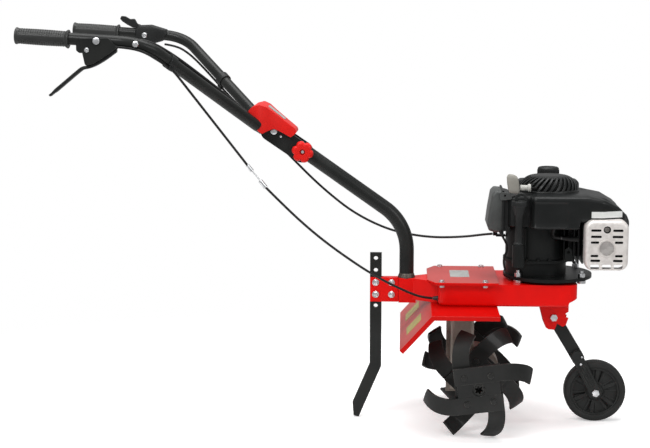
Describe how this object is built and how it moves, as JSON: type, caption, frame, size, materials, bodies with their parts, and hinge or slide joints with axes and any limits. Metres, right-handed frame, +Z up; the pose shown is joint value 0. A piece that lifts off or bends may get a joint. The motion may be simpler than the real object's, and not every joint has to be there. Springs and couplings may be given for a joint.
{
  "type": "garden tiller",
  "caption": "Walk-behind garden tiller: vertical-shaft engine on a red belt case, tine rotor on a worm gearbox, front transport wheel, drag stake and tilting handlebars.",
  "frame": {"origin": "on the ground, under the middle of the machine's length and width", "axes": "+X forward (the transport wheel's end), +Y to the operator's left, +Z up"},
  "size_m": [1.2441, 0.5583, 0.866],
  "materials": {
    "painted_red": "gloss powder coat",
    "painted_black": "satin powder coat",
    "zinc_bright": "zinc plated",
    "red_plastic": "moulded, satin",
    "gearbox_metal": "cast and lightly painted, satin",
    "engine_black": "satin",
    "shroud_plastic": "moulded, satin",
    "black_plastic": "moulded, fine grain",
    "grey_plastic": "moulded, satin",
    "light_grey_plastic": "moulded, satin",
    "white_plastic": "moulded, satin",
    "muffler_steel": "heat dulled",
    "guard_steel": "pressed, aluminised",
    "tyre_rubber": "matte",
    "black_rubber": "matte, ribbed",
    "tine_paint": "semi-gloss enamel",
    "cable_sheath": "extruded, satin"
  },
  "bodies": {
    "chassis": {"chassis_box": "painted_red", "chassis_neck": "painted_red", "belt_cover_plate": "painted_red", "cover_bolts": "zinc_bright", "rear_bracket": "painted_red", "bracket_bolts": "zinc_bright", "drag_stake": "painted_black", "column_tube": "painted_black", "handle_pivot_bolt": "zinc_bright", "star_knob": "red_plastic", "tine_guard": "painted_red", "gearbox_right": "gearbox_metal", "gearbox_left": "gearbox_metal", "gearbox_bolts": "gearbox_metal", "wheel_bracket": "painted_red", "arm_pivot_bolt": "zinc_bright", "engine_base": "engine_black", "engine_bolts": "zinc_bright", "cylinder_block": "engine_black", "blower_housing": "shroud_plastic", "starter_dome": "shroud_plastic", "fuel_tank": "shroud_plastic", "fuel_cap": "black_plastic", "air_cleaner_cover": "grey_plastic", "oil_filler": "black_plastic", "rope_guide": "white_plastic", "starter_grip": "light_grey_plastic", "muffler": "muffler_steel", "muffler_guard": "guard_steel", "cable_boot": "black_rubber", "throttle_bracket": "engine_black"},
    "wheel_carrier": {"wheel_arm": "painted_black", "wheel_fork": "painted_black", "wheel_bolts": "zinc_bright"},
    "front_wheel": {"wheel_tyre": "tyre_rubber", "wheel_rim": "black_plastic"},
    "tine_rotor": {"tine_shaft": "tine_paint", "tine_star_outer_right": "tine_paint", "tine_star_outer_left": "tine_paint", "tine_star_inner_right": "tine_paint", "tine_star_inner_left": "tine_paint"},
    "handlebar": {"handle_tube_right": "painted_black", "handle_tube_left": "painted_black", "grip_right": "black_rubber", "grip_left": "black_rubber", "junction_cover": "red_plastic", "clutch_bracket": "painted_black", "clutch_lever": "black_plastic", "handle_bolts": "zinc_bright", "throttle_housing": "black_plastic", "throttle_lever": "black_plastic", "cable_clips": "black_plastic", "cable_adjuster": "zinc_bright", "clutch_cable_upper": "cable_sheath", "clutch_cable_lower": "cable_sheath", "throttle_cable": "cable_sheath", "loom_cable": "cable_sheath"}
  },
  "joints": [
    {"name": "wheel_swing", "type": "hinge", "parent": "chassis", "child": "wheel_carrier", "pos_m": [0.464, 0, 0.229], "axis": [0, -1, 0], "range_deg": [0, 50]},
    {"name": "wheel_spin", "type": "hinge", "parent": "wheel_carrier", "child": "front_wheel", "pos_m": [0.556, 0, 0.066], "axis": [0, 1, 0], "continuous": true},
    {"name": "tine_spin", "type": "hinge", "parent": "chassis", "child": "tine_rotor", "pos_m": [0.2975, 0, 0.1137], "axis": [0, 1, 0], "continuous": true},
    {"name": "handlebar_tilt", "type": "hinge", "parent": "chassis", "child": "handlebar", "pos_m": [-0.13508, 0, 0.62695], "axis": [0, 1, 0], "range_deg": [-8, 8], "deforming": ["clutch_cable_lower", "throttle_cable"]}
  ]
}
